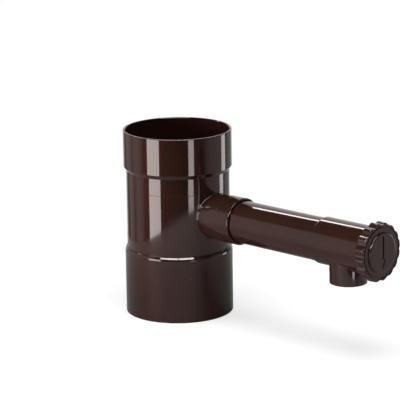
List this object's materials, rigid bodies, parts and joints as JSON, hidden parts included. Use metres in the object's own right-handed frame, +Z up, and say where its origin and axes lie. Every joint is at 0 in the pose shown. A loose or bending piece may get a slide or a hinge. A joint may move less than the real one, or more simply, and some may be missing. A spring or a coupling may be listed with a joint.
{
  "type": "rainwater diverter",
  "caption": "Brown plastic rainwater diverter for a round downpipe: socketed barrel, side arm and a rotary outlet valve with a fluted knob.",
  "frame": {"origin": "centre of the lower socket's mouth, on the plane that the object stands on", "axes": "+Z up along the downpipe's axis, +X along the side arm towards the knob, +Y completes the right-handed frame"},
  "size_m": [0.2462, 0.084, 0.1442],
  "materials": {
    "brown_pvc": "glossy moulded PVC",
    "brown_pvc_inner": "satin moulded PVC",
    "seal_rubber": "greased rubber"
  },
  "bodies": {
    "diverter": {"body": "brown_pvc", "lower_coupler": "brown_pvc", "collector_ring": "brown_pvc_inner", "arm_pipe": "brown_pvc", "outlet_tee": "brown_pvc"},
    "knob": {"valve_plug": "brown_pvc_inner", "seal_inner": "seal_rubber", "seal_outer": "seal_rubber", "valve_knob": "brown_pvc"}
  },
  "joints": [
    {"name": "valve_turn", "type": "hinge", "parent": "diverter", "child": "knob", "pos_m": [0.1718, 0, 0.0814], "axis": [1, 0, 0], "continuous": true}
  ]
}
